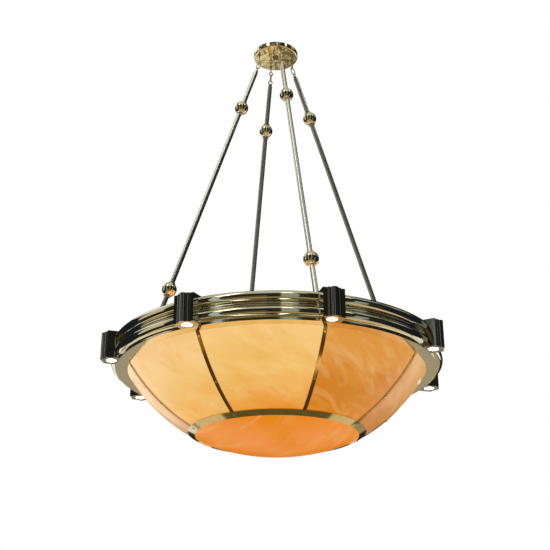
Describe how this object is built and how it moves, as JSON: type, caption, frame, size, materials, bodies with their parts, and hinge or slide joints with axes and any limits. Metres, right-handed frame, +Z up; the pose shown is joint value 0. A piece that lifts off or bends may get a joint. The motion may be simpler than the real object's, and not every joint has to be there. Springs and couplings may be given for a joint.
{
  "type": "alabaster bowl pendant light",
  "caption": "Wide shallow alabaster bowl in a reeded brass band, hung on long sloping brass rods with ball joints from a small canopy; glows and shines light down.",
  "frame": {"origin": "centre of the ceiling face of the canopy, midway between the crossbar's two screw holes", "axes": "+Z up, out of the ceiling face; +X along the crossbar; legs at 45 degrees between X and Y"},
  "size_m": [0.904, 0.904, 1.1797],
  "materials": {
    "alabaster": "honed, lit from inside",
    "alabaster_centre": "honed, lit from inside",
    "band_brass": "polished",
    "housing_brass": "polished",
    "trim_brass": "polished",
    "rod_brass": "polished",
    "ball_brass": "polished",
    "hanging_brass": "polished",
    "inner_brass": "satin",
    "inner_steel": "zinc plated",
    "lampholder": "matte, heat-proof",
    "bulb_glass": "frosted, lit",
    "spot_glass": "lit lens"
  },
  "bodies": {
    "ceiling_mount": {"crossbar": "inner_steel", "canopy": "hanging_brass", "hanger_plate": "inner_steel", "threaded_nipple": "inner_steel", "canopy_cap_nut": "hanging_brass", "canopy_eyes": "hanging_brass", "canopy_nuts": "inner_steel"},
    "leg_1": {"link_1": "hanging_brass", "rod_ends_1": "hanging_brass", "rod_tubes_1": "rod_brass", "rod_balls_1": "ball_brass"},
    "leg_2": {"link_2": "hanging_brass", "rod_ends_2": "hanging_brass", "rod_tubes_2": "rod_brass", "rod_balls_2": "ball_brass"},
    "leg_3": {"link_3": "hanging_brass", "rod_ends_3": "hanging_brass", "rod_tubes_3": "rod_brass", "rod_balls_3": "ball_brass"},
    "leg_4": {"link_4": "hanging_brass", "rod_ends_4": "hanging_brass", "rod_tubes_4": "rod_brass", "rod_balls_4": "ball_brass"},
    "bowl": {"rim_plate": "band_brass", "inner_hoop": "inner_brass", "reeded_band_segments": "band_brass", "rod_lugs": "inner_brass", "lug_pins": "inner_steel", "frame_screws": "inner_steel", "alabaster_panel_1": "alabaster", "alabaster_panel_2": "alabaster", "alabaster_panel_3": "alabaster", "alabaster_panel_4": "alabaster", "alabaster_panel_5": "alabaster", "alabaster_panel_6": "alabaster", "alabaster_panel_7": "alabaster", "alabaster_panel_8": "alabaster", "alabaster_disc": "alabaster_centre", "bowl_ribs": "trim_brass", "inner_ribs": "inner_brass", "disc_ring": "trim_brass", "inner_ring": "inner_brass", "bowl_screws": "trim_brass", "lamp_housing_1": "housing_brass", "lamp_housing_2": "housing_brass", "lamp_housing_3": "housing_brass", "lamp_housing_4": "housing_brass", "lamp_housing_5": "housing_brass", "lamp_housing_6": "housing_brass", "lamp_housing_7": "housing_brass", "lamp_housing_8": "housing_brass", "housing_caps": "housing_brass", "spot_lamps": "spot_glass", "spot_bezels": "hanging_brass", "spot_sockets": "lampholder", "lamp_arms": "inner_steel", "wiring_cup": "inner_steel", "lampholders": "lampholder", "bowl_bulbs": "bulb_glass"}
  },
  "joints": [
    {"name": "bowl_sway", "type": "hinge", "parent": "ceiling_mount", "child": "bowl", "pos_m": [0, 0, 0.11345], "axis": [0, 1, 0], "range_deg": [-3, 3]},
    {"name": "leg_1_swing", "type": "hinge", "parent": "ceiling_mount", "child": "leg_1", "pos_m": [0.03493, 0.03493, -0.03945], "axis": [0, 1, 0], "range_deg": [-3.6, 3.6]},
    {"name": "leg_2_swing", "type": "hinge", "parent": "ceiling_mount", "child": "leg_2", "pos_m": [-0.03493, 0.03493, -0.03945], "axis": [0, 1, 0], "range_deg": [-3.6, 3.6]},
    {"name": "leg_3_swing", "type": "hinge", "parent": "ceiling_mount", "child": "leg_3", "pos_m": [-0.03493, -0.03493, -0.03945], "axis": [0, 1, 0], "range_deg": [-3.6, 3.6]},
    {"name": "leg_4_swing", "type": "hinge", "parent": "ceiling_mount", "child": "leg_4", "pos_m": [0.03493, -0.03493, -0.03945], "axis": [0, 1, 0], "range_deg": [-3.6, 3.6]}
  ],
  "couplings": [
    {"joint": "leg_1_swing", "follows": "bowl_sway", "ratio": 1.1694},
    {"joint": "leg_2_swing", "follows": "bowl_sway", "ratio": 1.1694},
    {"joint": "leg_3_swing", "follows": "bowl_sway", "ratio": 1.1694},
    {"joint": "leg_4_swing", "follows": "bowl_sway", "ratio": 1.1694}
  ]
}
